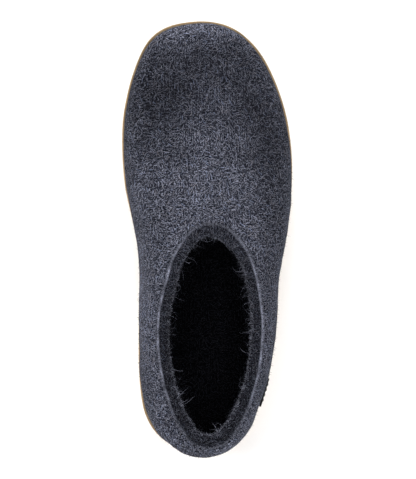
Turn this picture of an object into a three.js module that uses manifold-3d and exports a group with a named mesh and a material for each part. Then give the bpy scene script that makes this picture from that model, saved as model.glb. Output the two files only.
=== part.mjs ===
// A wool felt slipper for the right foot, standing empty on its sole.
// Toe towards +Y, outer side towards +X, +Z up, all lengths in millimetres.
// The felted upper, its insole, the rubber cup sole and the blank side tab all take their shape
// from the same tables of sections, read from the back of the heel to the tip of the toe.
import * as THREE from "three";
import { mergeVertices } from "three/addons/utils/BufferGeometryUtils.js";
import Module from "manifold-3d";

const wasm = await Module();
wasm.setup();

// Driving sizes of the felt upper
const UPPER_LENGTH = 278; // felt, back of the heel to tip of the toe
const BALL_WIDTH = 107; // felt, across the ball of the foot
const THROAT_HEIGHT = 92; // front of the collar above the floor
const FELT = 6; // wall and bottom of the felted body
const RIM_BAND = 9.5; // cut edge of the collar, seen from above, at its front and sides
const HEEL_BAND = 10.5; // the same at the back of the heel
const RIM_DROP = 2; // the cut edge falls this much towards the foot
const RIM_BEVEL = 1.2; // broken corner on each side of the cut edge
const RIM_BLEND = 26; // run below the collar over which the wall thins to the plain felt
const HEEL_BAND_RUN = 39; // the heel's wider band narrows to the sides' over this length
const TUCK = 9; // the wall turns in this much from its widest line to the underside
const LINING_TUCK = 0.35; // the lining turns in less than that, by this share of the wall

// Driving sizes of the rubber sole, the insole and the tab
const SOLE_THICK = 7; // at the heel
const SOLE_LIP = 5.5; // rim of the cup above the felt's underside
const WELT = 2; // rim beyond the widest felt, where it shows most
const SOLE_BEVEL = 1.2;
const LIP_ROUND = 0.8;
const TOE_SPRING = 7;
const ARCH_LIFT = 1.6;
const HEEL_ROLL = 1.2; // the very back of the heel is lifted this much
const GROOVE_WIDTH = 2.4;
const GROOVE_DEPTH = 1.3;
const GROOVE_PITCH = 9;
const GROOVE_WAVE = 1.6;
const GROOVE_BENDS = 3; // half waves of each groove
const GROOVE_BORDER = 11; // plain rubber left between a groove's end and the sole's edge
const INSOLE_THICK = 3;
const GAP = 0.3; // between touching pieces
const TAB_LENGTH = 18;
const TAB_HEIGHT = 13;
const TAB_THICK = 1.1;
const TAB_DROP = 5.9; // its lower edge lies this much below the felt's widest line

// Sections of the felt upper. at is the share of UPPER_LENGTH from the heel. inner and outer are
// the half breadths and ridge the sideways place of the crown, as shares of BALL_WIDTH. crown and
// bulge are the heights of the top and of the widest line, as shares of THROAT_HEIGHT: behind the
// throat the crown lies above the collar, where the topline cuts the felt away. full is the
// exponent of the rounded top.
const SECTIONS = [
  { at: 0, inner: 0, outer: 0, crown: 0.326, bulge: 0.326, ridge: 0, full: 2 },
  { at: 0.013, inner: 0.132, outer: 0.132, crown: 0.7, bulge: 0.326, ridge: 0.005, full: 2 },
  { at: 0.041, inner: 0.245, outer: 0.222, crown: 0.92, bulge: 0.326, ridge: 0.018, full: 2 },
  { at: 0.068, inner: 0.303, outer: 0.28, crown: 0.972, bulge: 0.325, ridge: 0.04, full: 2 },
  { at: 0.1, inner: 0.342, outer: 0.316, crown: 1.01, bulge: 0.323, ridge: 0.062, full: 2 },
  { at: 0.15, inner: 0.366, outer: 0.357, crown: 1.058, bulge: 0.32, ridge: 0.075, full: 2 },
  { at: 0.2, inner: 0.378, outer: 0.394, crown: 1.095, bulge: 0.315, ridge: 0.055, full: 2 },
  { at: 0.27, inner: 0.384, outer: 0.422, crown: 1.128, bulge: 0.308, ridge: 0.015, full: 2 },
  { at: 0.36, inner: 0.385, outer: 0.452, crown: 1.136, bulge: 0.3, ridge: -0.012, full: 2 },
  { at: 0.44, inner: 0.387, outer: 0.474, crown: 1.1, bulge: 0.292, ridge: -0.012, full: 2 },
  { at: 0.5, inner: 0.4, outer: 0.497, crown: 1.042, bulge: 0.283, ridge: 0, full: 2 },
  { at: 0.56, inner: 0.431, outer: 0.518, crown: 0.958, bulge: 0.27, ridge: 0.01, full: 2.03 },
  { at: 0.62, inner: 0.461, outer: 0.534, crown: 0.856, bulge: 0.257, ridge: 0.012, full: 2.08 },
  { at: 0.68, inner: 0.473, outer: 0.534, crown: 0.766, bulge: 0.246, ridge: 0.012, full: 2.14 },
  { at: 0.73, inner: 0.475, outer: 0.522, crown: 0.704, bulge: 0.239, ridge: 0.01, full: 2.18 },
  { at: 0.78, inner: 0.469, outer: 0.5, crown: 0.655, bulge: 0.234, ridge: 0.007, full: 2.22 },
  { at: 0.825, inner: 0.449, outer: 0.468, crown: 0.618, bulge: 0.233, ridge: 0.004, full: 2.25 },
  { at: 0.871, inner: 0.419, outer: 0.422, crown: 0.582, bulge: 0.237, ridge: 0.002, full: 2.27 },
  { at: 0.917, inner: 0.375, outer: 0.36, crown: 0.536, bulge: 0.247, ridge: 0, full: 2.28 },
  { at: 0.945, inner: 0.337, outer: 0.306, crown: 0.498, bulge: 0.256, ridge: 0, full: 2.28 },
  { at: 0.965, inner: 0.296, outer: 0.255, crown: 0.46, bulge: 0.263, ridge: 0.002, full: 2.25 },
  { at: 0.984, inner: 0.226, outer: 0.185, crown: 0.401, bulge: 0.27, ridge: 0.005, full: 2.2 },
  { at: 0.995, inner: 0.132, outer: 0.106, crown: 0.342, bulge: 0.273, ridge: 0.008, full: 2.1 },
  { at: 1, inner: -0.01, outer: 0.01, crown: 0.274, bulge: 0.274, ridge: 0.01, full: 2 },
];

// Sections of the sole. thick scales SOLE_THICK, spring, arch and roll scale the three lifts of
// the tread, and weltIn and weltOut scale WELT on the inner and the outer side.
const SOLE_SECTIONS = [
  { at: 0, thick: 1, spring: 0, arch: 0, roll: 1, weltIn: 0.4, weltOut: 0.4 },
  { at: 0.041, thick: 1, spring: 0, arch: 0, roll: 0, weltIn: 0.5, weltOut: 0.5 },
  { at: 0.1, thick: 1, spring: 0, arch: 0, roll: 0, weltIn: 0.4, weltOut: 0.5 },
  { at: 0.2, thick: 1, spring: 0, arch: 0, roll: 0, weltIn: 0.1, weltOut: 0.3 },
  { at: 0.27, thick: 1, spring: 0, arch: 0, roll: 0, weltIn: -0.15, weltOut: 0.1 },
  { at: 0.36, thick: 0.94, spring: 0, arch: 0.8, roll: 0, weltIn: -0.35, weltOut: -0.1 },
  { at: 0.44, thick: 0.88, spring: 0, arch: 1, roll: 0, weltIn: -0.4, weltOut: -0.1 },
  { at: 0.5, thick: 0.84, spring: 0, arch: 0.45, roll: 0, weltIn: -0.25, weltOut: 0.1 },
  { at: 0.56, thick: 0.8, spring: 0, arch: 0, roll: 0, weltIn: -0.1, weltOut: 0.4 },
  { at: 0.62, thick: 0.78, spring: 0, arch: 0, roll: 0, weltIn: 0.1, weltOut: 0.7 },
  { at: 0.73, thick: 0.77, spring: 0, arch: 0, roll: 0, weltIn: 0.4, weltOut: 1 },
  { at: 0.78, thick: 0.76, spring: 0.01, arch: 0, roll: 0, weltIn: 0.45, weltOut: 1.1 },
  { at: 0.825, thick: 0.74, spring: 0.08, arch: 0, roll: 0, weltIn: 0.5, weltOut: 1.1 },
  { at: 0.871, thick: 0.72, spring: 0.24, arch: 0, roll: 0, weltIn: 0.55, weltOut: 1.1 },
  { at: 0.917, thick: 0.7, spring: 0.48, arch: 0, roll: 0, weltIn: 0.6, weltOut: 1.1 },
  { at: 0.945, thick: 0.68, spring: 0.66, arch: 0, roll: 0, weltIn: 0.7, weltOut: 1.1 },
  { at: 0.965, thick: 0.66, spring: 0.79, arch: 0, roll: 0, weltIn: 0.8, weltOut: 1 },
  { at: 0.984, thick: 0.64, spring: 0.91, arch: 0, roll: 0, weltIn: 0.9, weltOut: 1 },
  { at: 1, thick: 0.63, spring: 1, arch: 0, roll: 0, weltIn: 1, weltOut: 1 },
];

// The topline of the collar seen from the side, as shares of UPPER_LENGTH and THROAT_HEIGHT.
// It runs on past both ends of the collar, above the felt.
const TOPLINE = [
  { at: 0, height: 0.93 },
  { at: 0.041, height: 0.891 },
  { at: 0.108, height: 0.847 },
  { at: 0.17, height: 0.824 },
  { at: 0.25, height: 0.812 },
  { at: 0.317, height: 0.836 },
  { at: 0.385, height: 0.9 },
  { at: 0.457, height: 0.96 },
  { at: 0.51, height: 0.994 },
  { at: 0.56, height: 1 },
  { at: 1, height: 1 },
];

// Where the walls meet in plan when they are followed inwards: the middle of the collar
const COLLAR_CENTRE = { along: 0.29, across: 0.018 };
// Where the tab and the fields of grooves lie along the shoe
const TAB_AT = 0.149; // middle of the tab
const HEEL_GROOVES = { from: 0.065, count: 6 };
const BALL_GROOVES = { from: 0.575, count: 11 };

// How finely the surfaces are divided
const SIDE_COLUMNS = 42; // heel to toe along one side
const TOP_RINGS = 13; // collar to the widest line
const FLANK_RINGS = 3; // widest line to the sole's lip
const TUCK_RINGS = 4; // sole's lip to the underside
const TAB_COLUMNS = 6;
const TAB_ROWS = 4;
const WAVE_SAMPLES = 12; // points along each side of a groove
const CURVE_SAMPLES = 3000;
const SEARCH_SHARE = 0.01; // first steps of the search for the collar's edge
const SEARCH_HALVINGS = 40;
const LEAST_TURN = 0.05; // the lip keeps this share of the flank's turn clear at both ends
const SLOPE_STEP = 1; // distance over which a wall's slope is read
const CUT_CLEARANCE = 2.6; // the grooves' cutters start this far below the tread
const CUT_TOLERANCE = 0.005; // slivers left by the grooves' cuts are dropped
const WELD = 1e-4; // corners closer than this are one
const TINY = 1e-9; // keeps divisions clear of zero

const columns = 2 * SIDE_COLUMNS;
const lerp = THREE.MathUtils.lerp;
const clamp = THREE.MathUtils.clamp;
const smooth = (t) => THREE.MathUtils.smoothstep(t, 0, 1);

// A smooth curve through a table's column that never overshoots its rows
function columnCurve(rows, key, scale) {
  const x = rows.map((row) => row.at * UPPER_LENGTH);
  const y = rows.map((row) => row[key] * scale);
  const slope = x.slice(1).map((_, i) => (y[i + 1] - y[i]) / (x[i + 1] - x[i]));
  const tangent = x.map((_, i) => {
    if (i === 0 || i === x.length - 1) return slope[Math.min(i, slope.length - 1)];
    const before = slope[i - 1];
    const after = slope[i];
    return before * after <= 0 ? 0 : (2 * before * after) / (before + after);
  });
  return (at) => {
    const place = clamp(at, x[0], x[x.length - 1]);
    let i = x.findIndex((value) => value > place) - 1;
    if (i < 0) i = x.length - 2;
    const width = x[i + 1] - x[i];
    const t = (place - x[i]) / width;
    const rise = 3 * t * t - 2 * t * t * t;
    return (
      y[i] * (1 - rise) +
      y[i + 1] * rise +
      width * (tangent[i] * t * (1 - t) * (1 - t) - tangent[i + 1] * t * t * (1 - t))
    );
  };
}

// Two sides of a closed smooth outline, each as points sorted along the shoe
function outlineSides(points) {
  const loop = new THREE.CatmullRomCurve3(points, true, "centripetal").getPoints(CURVE_SAMPLES);
  loop.pop();
  const lowest = loop.reduce((best, p, i) => (p.y < loop[best].y ? i : best), 0);
  const turned = [...loop.slice(lowest), ...loop.slice(0, lowest)];
  const highest = turned.reduce((best, p, i) => (p.y > turned[best].y ? i : best), 0);
  return [turned.slice(0, highest + 1), [turned[0], ...turned.slice(highest).reverse()]];
}

// The sideways (or upright) place of an outline's side at a place along the shoe
function acrossAt(side, along) {
  let low = 0;
  let high = side.length - 1;
  while (high - low > 1) {
    const middle = (low + high) >> 1;
    if (side[middle].y <= along) low = middle;
    else high = middle;
  }
  const t = clamp((along - side[low].y) / Math.max(side[high].y - side[low].y, TINY), 0, 1);
  return lerp(side[low].x, side[high].x, t);
}

const ridgeAt = columnCurve(SECTIONS, "ridge", BALL_WIDTH);
const bulgeAt = columnCurve(SECTIONS, "bulge", THROAT_HEIGHT);
const fullAt = columnCurve(SECTIONS, "full", 1);
const thickAt = columnCurve(SOLE_SECTIONS, "thick", SOLE_THICK);
const springAt = columnCurve(SOLE_SECTIONS, "spring", TOE_SPRING);
const archAt = columnCurve(SOLE_SECTIONS, "arch", ARCH_LIFT);
const rollAt = columnCurve(SOLE_SECTIONS, "roll", HEEL_ROLL);
const weltInAt = columnCurve(SOLE_SECTIONS, "weltIn", WELT);
const weltOutAt = columnCurve(SOLE_SECTIONS, "weltOut", WELT);
const toplineAt = columnCurve(TOPLINE, "height", THROAT_HEIGHT);

const treadAt = (along) => springAt(along) + archAt(along) + rollAt(along);
const footAt = (along) => treadAt(along) + thickAt(along) + GAP; // the felt's underside

// The outline from above, and the one from the side, as closed curves through the sections
const backRows = SECTIONS.slice(1, -1).reverse();
const outlinePoint = (row, reach) => new THREE.Vector3(reach, row.at * UPPER_LENGTH, 0);
const [outerSide, innerSide] = outlineSides([
  ...SECTIONS.map((row) => outlinePoint(row, row.outer * BALL_WIDTH)),
  ...backRows.map((row) => outlinePoint(row, -row.inner * BALL_WIDTH)),
]);
const [crownSide] = outlineSides([
  ...SECTIONS.map((row) => outlinePoint(row, row.crown * THROAT_HEIGHT)),
  ...backRows.map((row) => outlinePoint(row, footAt(row.at * UPPER_LENGTH))),
]);

// Height of the felt's outer face over a point of the plan
function topHeight(across, along) {
  const ridge = ridgeAt(along);
  const side = across > ridge ? outerSide : innerSide;
  const span = Math.max(Math.abs(acrossAt(side, along) - ridge), TINY);
  const reach = Math.min(Math.abs(across - ridge) / span, 1);
  const n = fullAt(along);
  const bulge = bulgeAt(along);
  const crown = Math.max(acrossAt(crownSide, along), bulge);
  return bulge + (crown - bulge) * (1 - reach ** n) ** (1 / n);
}

// The widest line: one point for each column, heel, outer side, toe, inner side. A column of one
// side lies as far along the shoe as its partner on the other, so that faces can span the two.
function widestLine() {
  const lengths = [0];
  outerSide.forEach((p, i) => {
    if (i) lengths.push(lengths[i - 1] + p.distanceTo(outerSide[i - 1]));
  });
  const total = lengths[lengths.length - 1];
  const alongs = Array.from({ length: SIDE_COLUMNS + 1 }, (_, j) => {
    const want = (total * j) / SIDE_COLUMNS;
    const i = Math.max(lengths.findIndex((length) => length >= want - TINY), 1);
    const t = (want - lengths[i - 1]) / (lengths[i] - lengths[i - 1]);
    return lerp(outerSide[i - 1].y, outerSide[i].y, t);
  });
  const point = (side, along) => new THREE.Vector3(acrossAt(side, along), along, bulgeAt(along));
  return [
    ...alongs.map((along) => point(outerSide, along)),
    ...alongs.slice(1, -1).reverse().map((along) => point(innerSide, along)),
  ];
}

// Level normals of a closed ring, pointing outwards
function planNormals(ring) {
  return ring.map((_, j) => {
    const before = ring[(j + columns - 1) % columns];
    const after = ring[(j + 1) % columns];
    return new THREE.Vector3(after.y - before.y, before.x - after.x, 0).normalize();
  });
}

const widest = widestLine();
const outward = planNormals(widest);
const centre = new THREE.Vector3(
  COLLAR_CENTRE.across * BALL_WIDTH,
  COLLAR_CENTRE.along * UPPER_LENGTH,
  0,
);

// A point of the outer face above the widest line: u is 0 on that line and 1 at the collar's centre
function towardsCentre(j, u) {
  const x = lerp(widest[j].x, centre.x, u);
  const y = lerp(widest[j].y, centre.y, u);
  return new THREE.Vector3(x, y, u === 0 ? widest[j].z : topHeight(x, y));
}

// The share u at which the outer face reaches the topline, less the broken corner
function collarShare(j) {
  const above = (u) => {
    const p = towardsCentre(j, u);
    return p.z - (toplineAt(p.y) - RIM_BEVEL);
  };
  let low = 0;
  let high = 0;
  while (high < 1 && above(high) < 0) {
    low = high;
    high += SEARCH_SHARE;
  }
  for (let i = 0; i < SEARCH_HALVINGS; i++) {
    const middle = (low + high) / 2;
    if (above(middle) < 0) low = middle;
    else high = middle;
  }
  return high;
}

// Rings of the outer face from the collar down to the widest line
const collarShares = widest.map((_, j) => collarShare(j));
const outerTop = Array.from({ length: TOP_RINGS + 1 }, (_, k) => {
  const fall = Math.sin((k / TOP_RINGS) * (Math.PI / 2));
  return widest.map((_, j) => towardsCentre(j, k === TOP_RINGS ? 0 : collarShares[j] * (1 - fall)));
});

// Outward normals of the outer face, from its neighbours in the rings
function faceNormal(k, j) {
  if (k === TOP_RINGS) return outward[j];
  const alongRing = new THREE.Vector3().subVectors(
    outerTop[k][(j + 1) % columns],
    outerTop[k][(j + columns - 1) % columns],
  );
  const downWall = new THREE.Vector3().subVectors(
    outerTop[Math.min(k + 1, TOP_RINGS)][j],
    outerTop[Math.max(k - 1, 0)][j],
  );
  return downWall.cross(alongRing).normalize();
}

// The flank below the widest line, grown outwards: turn is 0 at that line and 1 at the underside
function flankPoint(j, turn, grow) {
  const angle = (turn * Math.PI) / 2;
  const tuck = TUCK + Math.min(grow, 0) * LINING_TUCK;
  const p = widest[j].clone().addScaledVector(outward[j], grow - tuck * (1 - Math.cos(angle)));
  const drop = widest[j].z - footAt(widest[j].y) + grow;
  return p.setZ(widest[j].z - drop * Math.sin(angle));
}

// The turn at which the bare flank is as high as the sole's lip
function lipTurn(j) {
  const drop = widest[j].z - footAt(widest[j].y);
  return Math.asin(clamp((drop - SOLE_LIP) / drop, LEAST_TURN, 1 - LEAST_TURN)) / (Math.PI / 2);
}

const lipTurns = widest.map((_, j) => lipTurn(j));
const flankTurn = (j, k) =>
  k <= FLANK_RINGS
    ? (lipTurns[j] * k) / FLANK_RINGS
    : lerp(lipTurns[j], 1, (k - FLANK_RINGS) / TUCK_RINGS);
const flankRing = (k, grow) => widest.map((_, j) => flankPoint(j, flankTurn(j, k), grow));

// A closed solid from rings that run from the underside of one face to that of the other
function shell(rings) {
  const positions = rings.flat().flatMap((p) => [p.x, p.y, p.z]);
  const index = [];
  const quad = (a, b, c, d) => index.push(a, b, c, a, c, d);
  for (let k = 0; k + 1 < rings.length; k++) {
    for (let j = 0; j < columns; j++) {
      const next = (j + 1) % columns;
      quad(k * columns + j, k * columns + next, (k + 1) * columns + next, (k + 1) * columns + j);
    }
  }
  const cap = (start, flip) => {
    for (let j = 0; j < SIDE_COLUMNS; j++) {
      const a = start + j;
      const b = start + j + 1;
      const c = start + ((columns - j - 1) % columns);
      const d = start + ((columns - j) % columns);
      const faces = [];
      if (c !== b) faces.push([a, b, c]);
      if (d !== a) faces.push([a, c === b ? b : c, d]);
      faces.forEach(([p, q, r]) => index.push(...(flip ? [p, q, r] : [p, r, q])));
    }
  };
  cap(0, false);
  cap((rings.length - 1) * columns, true);
  const geometry = new THREE.BufferGeometry();
  geometry.setAttribute("position", new THREE.Float32BufferAttribute(positions, 3));
  geometry.setIndex(index);
  return facingOut(geometry);
}

// Turns a geometry's faces round if they point inwards
function facingOut(geometry) {
  const solid = solidOf(geometry);
  if (solid.volume() > 0) return geometry;
  const index = geometry.index.array;
  for (let i = 0; i < index.length; i += 3) [index[i + 1], index[i + 2]] = [index[i + 2], index[i + 1]];
  return geometry;
}

// A geometry as a solid that can be joined and cut
function solidOf(geometry) {
  const bare = geometry.clone();
  bare.deleteAttribute("normal");
  bare.deleteAttribute("uv");
  const merged = mergeVertices(bare, WELD);
  return new wasm.Manifold(
    new wasm.Mesh({
      numProp: 3,
      vertProperties: Float32Array.from(merged.attributes.position.array),
      triVerts: Uint32Array.from(merged.index.array),
    }),
  );
}

function geometryOf(solid) {
  const mesh = solid.getMesh();
  const geometry = new THREE.BufferGeometry();
  geometry.setAttribute("position", new THREE.Float32BufferAttribute(mesh.vertProperties, 3));
  geometry.setIndex([...mesh.triVerts]);
  return geometry;
}

// The cut edge of the collar, from the outer corner to the inner one
function rimRings() {
  const edge = outerTop[0];
  const normals = planNormals(edge);
  const back = edge.reduce((least, p) => Math.min(least, p.y), Infinity);
  return [
    { inset: () => RIM_BEVEL, below: 0 },
    { inset: (band) => band - RIM_BEVEL, below: RIM_DROP },
    { inset: (band) => band, below: RIM_DROP + RIM_BEVEL },
  ].map(({ inset, below }) =>
    edge.map((p, j) => {
      const forward = smooth((p.y - back) / HEEL_BAND_RUN);
      const band = lerp(HEEL_BAND, RIM_BAND, forward);
      const moved = p.clone().addScaledVector(normals[j], -inset(band));
      return moved.setZ(toplineAt(p.y) - below);
    }),
  );
}

// The lining face: a copy of the outer face at the collar that thins to the plain felt below it
function innerTop(innerEdge) {
  return outerTop.map((ring, k) =>
    ring.map((p, j) => {
      const below = p.distanceTo(outerTop[0][j]);
      const plain = p.clone().addScaledVector(faceNormal(k, j), -FELT);
      const copied = p.clone().add(innerEdge[j]).sub(outerTop[0][j]);
      return k === TOP_RINGS ? plain : copied.lerp(plain, smooth(below / RIM_BLEND));
    }),
  );
}

// The felted body: one wall from the underside, over the collar's cut edge and back to the bottom
function upperGeometry() {
  const lastFlank = FLANK_RINGS + TUCK_RINGS;
  const flank = (grow) => Array.from({ length: lastFlank }, (_, k) => flankRing(k + 1, grow));
  const rim = rimRings();
  const lining = innerTop(rim[rim.length - 1]);
  return shell([
    ...flank(0).reverse(),
    ...[...outerTop].reverse(),
    ...rim,
    ...lining.slice(1),
    ...flank(-FELT),
  ]);
}

// The insole lies on the felt bottom and follows the turn of the lining
function insoleGeometry() {
  const ring = (above, inset) =>
    widest.map((p, j) => {
      const floor = footAt(p.y) + FELT;
      const z = floor + above;
      const drop = p.z - floor;
      const turn = Math.asin(clamp((p.z - z) / drop, 0, 1)) / (Math.PI / 2);
      return flankPoint(j, turn, -FELT).addScaledVector(outward[j], -inset).setZ(z);
    });
  return shell([ring(GAP, 2 * GAP), ring(GAP + INSOLE_THICK, GAP)]);
}

const isInner = (j) => j > SIDE_COLUMNS;
const weltAt = (j) => (isInner(j) ? weltInAt : weltOutAt)(widest[j].y);

// The rubber cup without its grooves: underside, wall, lip, and the hollow that takes the felt
function solePlain() {
  const ring = (inset, height) =>
    widest.map((p, j) =>
      p.clone().addScaledVector(outward[j], weltAt(j) - inset).setZ(height(p.y)),
    );
  const lip = (along) => footAt(along) + SOLE_LIP;
  const inside = Array.from({ length: TUCK_RINGS + 1 }, (_, k) => flankRing(FLANK_RINGS + k, GAP));
  return shell([
    ring(SOLE_BEVEL, treadAt),
    ring(0, (along) => treadAt(along) + SOLE_BEVEL),
    ring(0, (along) => lip(along) - LIP_ROUND),
    ring(LIP_ROUND, lip),
    ...inside,
  ]);
}

// One wavy groove across the sole, as a solid that reaches from below the tread to its depth
function grooveSolid(along) {
  const reach = (side) => Math.abs(acrossAt(side, along)) - GROOVE_BORDER;
  const left = -reach(innerSide);
  const right = reach(outerSide);
  const wave = (share) => GROOVE_WAVE * Math.sin(share * GROOVE_BENDS * Math.PI);
  const line = (offset) =>
    Array.from({ length: WAVE_SAMPLES + 1 }, (_, i) => {
      const share = i / WAVE_SAMPLES;
      return new THREE.Vector2(lerp(left, right, share), wave(share) + offset);
    });
  const outline = [...line(-GROOVE_WIDTH / 2), ...line(GROOVE_WIDTH / 2).reverse()];
  const geometry = new THREE.ExtrudeGeometry(new THREE.Shape(outline), {
    depth: CUT_CLEARANCE + GROOVE_DEPTH,
    bevelEnabled: false,
  });
  geometry.translate(0, along, treadAt(along) - CUT_CLEARANCE);
  return solidOf(geometry);
}

function soleGeometry() {
  let sole = solidOf(solePlain());
  for (const field of [HEEL_GROOVES, BALL_GROOVES]) {
    for (let i = 0; i < field.count; i++) {
      sole = sole.subtract(grooveSolid(field.from * UPPER_LENGTH + i * GROOVE_PITCH));
    }
  }
  return geometryOf(sole.simplify(CUT_TOLERANCE));
}

// The felt's outer side wall at a place along the shoe and a height
function wallPoint(along, height) {
  const bulge = bulgeAt(along);
  const half = acrossAt(outerSide, along);
  if (height < bulge) {
    const drop = bulge - footAt(along);
    const angle = Math.asin(clamp((bulge - height) / drop, 0, 1));
    return new THREE.Vector3(half - TUCK * (1 - Math.cos(angle)), along, height);
  }
  const ridge = ridgeAt(along);
  const rise = (height - bulge) / (acrossAt(crownSide, along) - bulge);
  const n = fullAt(along);
  return new THREE.Vector3(ridge + (half - ridge) * (1 - rise ** n) ** (1 / n), along, height);
}

// A blank tab stitched to the outer side of the heel, bent to the felt
function tabGeometry() {
  const middle = TAB_AT * UPPER_LENGTH;
  const low = bulgeAt(middle) - TAB_DROP;
  const face = (grow) => {
    const points = [];
    for (let i = 0; i <= TAB_COLUMNS; i++) {
      for (let k = 0; k <= TAB_ROWS; k++) {
        const along = middle + TAB_LENGTH * (i / TAB_COLUMNS - 0.5);
        const height = low + (TAB_HEIGHT * k) / TAB_ROWS;
        const here = wallPoint(along, height);
        const ahead = wallPoint(along + SLOPE_STEP, height).sub(here);
        const above = wallPoint(along, height + SLOPE_STEP).sub(here);
        points.push(here.addScaledVector(ahead.cross(above).normalize(), grow));
      }
    }
    return points;
  };
  const points = [...face(GAP), ...face(GAP + TAB_THICK)];
  const rows = TAB_ROWS + 1;
  const count = rows * (TAB_COLUMNS + 1);
  const at = (layer, i, k) => layer * count + i * rows + k;
  const index = [];
  const quad = (a, b, c, d) => index.push(a, b, c, a, c, d);
  const end = TAB_COLUMNS;
  const top = TAB_ROWS;
  for (let i = 0; i < end; i++) {
    for (let k = 0; k < top; k++) {
      quad(at(1, i, k), at(1, i + 1, k), at(1, i + 1, k + 1), at(1, i, k + 1));
      quad(at(0, i, k), at(0, i, k + 1), at(0, i + 1, k + 1), at(0, i + 1, k));
    }
    quad(at(0, i, 0), at(0, i + 1, 0), at(1, i + 1, 0), at(1, i, 0));
    quad(at(1, i, top), at(1, i + 1, top), at(0, i + 1, top), at(0, i, top));
  }
  for (let k = 0; k < top; k++) {
    quad(at(0, 0, k), at(1, 0, k), at(1, 0, k + 1), at(0, 0, k + 1));
    quad(at(1, end, k), at(0, end, k), at(0, end, k + 1), at(1, end, k + 1));
  }
  const geometry = new THREE.BufferGeometry();
  const positions = points.flatMap((p) => [p.x, p.y, p.z]);
  geometry.setAttribute("position", new THREE.Float32BufferAttribute(positions, 3));
  geometry.setIndex(index);
  return facingOut(geometry);
}

const felt = new THREE.MeshStandardMaterial({ color: 0x4a4c56, roughness: 0.95, metalness: 0 });
const darkFelt = new THREE.MeshStandardMaterial({ color: 0x17181c, roughness: 1, metalness: 0 });
const rubber = new THREE.MeshStandardMaterial({ color: 0xb79a68, roughness: 0.6, metalness: 0 });
const leather = new THREE.MeshStandardMaterial({ color: 0x141414, roughness: 0.55, metalness: 0 });

function piece(name, geometry, material) {
  const mesh = new THREE.Mesh(geometry, material);
  mesh.name = name;
  return mesh;
}

// The shoe is set so that its box is centred over the origin and its sole stands at zero
const shoe = new THREE.Group();
shoe.add(piece("upper", upperGeometry(), felt));
shoe.add(piece("insole", insoleGeometry(), darkFelt));
shoe.add(piece("outsole", soleGeometry(), rubber));
shoe.add(piece("side_tab", tabGeometry(), leather));
const middle = new THREE.Box3().setFromObject(shoe).getCenter(new THREE.Vector3());
shoe.position.set(-middle.x, -middle.y, 0);

const slipper = new THREE.Group();
slipper.add(shoe);

export default slipper;
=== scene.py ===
"""A charcoal wool felt slipper on a pale floor, dressed over its solid parts."""
import math

import bmesh
import bpy
import numpy as np
from bpy.props import FloatProperty, FloatVectorProperty, IntProperty, PointerProperty
from mathutils import Matrix, Vector
from mathutils.bvhtree import BVHTree


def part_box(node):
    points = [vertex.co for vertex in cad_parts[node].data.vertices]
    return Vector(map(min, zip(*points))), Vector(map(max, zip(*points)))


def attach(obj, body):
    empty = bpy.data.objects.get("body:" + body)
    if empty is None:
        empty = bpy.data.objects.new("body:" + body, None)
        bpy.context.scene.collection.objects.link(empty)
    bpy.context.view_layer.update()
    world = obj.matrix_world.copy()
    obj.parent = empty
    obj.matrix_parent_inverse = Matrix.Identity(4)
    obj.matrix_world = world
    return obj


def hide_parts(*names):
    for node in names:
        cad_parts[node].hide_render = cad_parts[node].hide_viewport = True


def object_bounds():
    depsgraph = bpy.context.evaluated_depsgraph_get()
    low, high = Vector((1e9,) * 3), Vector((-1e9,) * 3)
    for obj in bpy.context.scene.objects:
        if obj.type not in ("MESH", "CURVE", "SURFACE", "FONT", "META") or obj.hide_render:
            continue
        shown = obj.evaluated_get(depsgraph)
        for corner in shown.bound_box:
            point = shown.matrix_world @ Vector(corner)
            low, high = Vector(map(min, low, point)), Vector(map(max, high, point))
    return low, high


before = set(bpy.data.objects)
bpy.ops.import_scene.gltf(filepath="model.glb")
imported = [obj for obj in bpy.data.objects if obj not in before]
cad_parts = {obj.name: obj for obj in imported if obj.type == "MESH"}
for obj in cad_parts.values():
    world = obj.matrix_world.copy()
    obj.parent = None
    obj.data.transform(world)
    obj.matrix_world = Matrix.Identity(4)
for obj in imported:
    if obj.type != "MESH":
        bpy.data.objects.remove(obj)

bl_info = {
    "name": "Felt Slipper",
    "version": (1, 0, 0),
    "blender": (4, 5, 0),
    "location": "3D View > Sidebar > Slipper",
    "description": "Dresses a felt slipper: felted upper, insole, rubber sole, side tab and stage",
    "category": "Mesh",
}

MM = 0.001
SOLID_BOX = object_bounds()
BODY = "root"

# Sizes of the shoe that the pieces share, worked out from the solids
UPPER_LOW, UPPER_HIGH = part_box("upper")
SOLE_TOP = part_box("outsole")[1][2]
LENGTH = UPPER_HIGH[1] - UPPER_LOW[1]
WIDTH = UPPER_HIGH[0] - UPPER_LOW[0]
COLLAR_LOW = 62 * MM  # no part of the collar's edge lies lower
SPINE_HEIGHT = 30 * MM  # the hollow's middle line
SPINE_END = 34 * MM  # it stops this far from the heel and the toe


def along(share):
    """The place along the shoe at a share of the felt's length from the heel."""
    return UPPER_LOW[1] + share * LENGTH


COLLAR_CENTRE = Vector((-1.5 * MM, along(0.29), 0))


# Meshes

WELD = 0.01 * MM  # corners of a solid that lie closer together are one
JOIN_BEND, JOIN_SKEW = 0.9, 1.2  # limits for joining two triangles, in radians


def add_object(name, data):
    piece = bpy.data.objects.new(name, data)
    bpy.context.collection.objects.link(piece)
    return piece


def solid_body(node):
    """A solid's faces as an editable mesh, with its shared corners welded."""
    body = bmesh.new()
    body.from_mesh(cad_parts[node].data)
    bmesh.ops.remove_doubles(body, verts=body.verts, dist=WELD)
    return body


def body_object(name, body):
    """A new object made from an editable mesh, which is freed."""
    mesh = bpy.data.meshes.new(name)
    body.to_mesh(mesh)
    body.free()
    return add_object(name, mesh)


def quad_copy(node, name):
    """A new object with a solid's shape, its triangles joined back into four-sided faces."""
    body = solid_body(node)
    bmesh.ops.join_triangles(
        body, faces=body.faces, angle_face_threshold=JOIN_BEND, angle_shape_threshold=JOIN_SKEW
    )
    return body_object(name, body)


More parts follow.
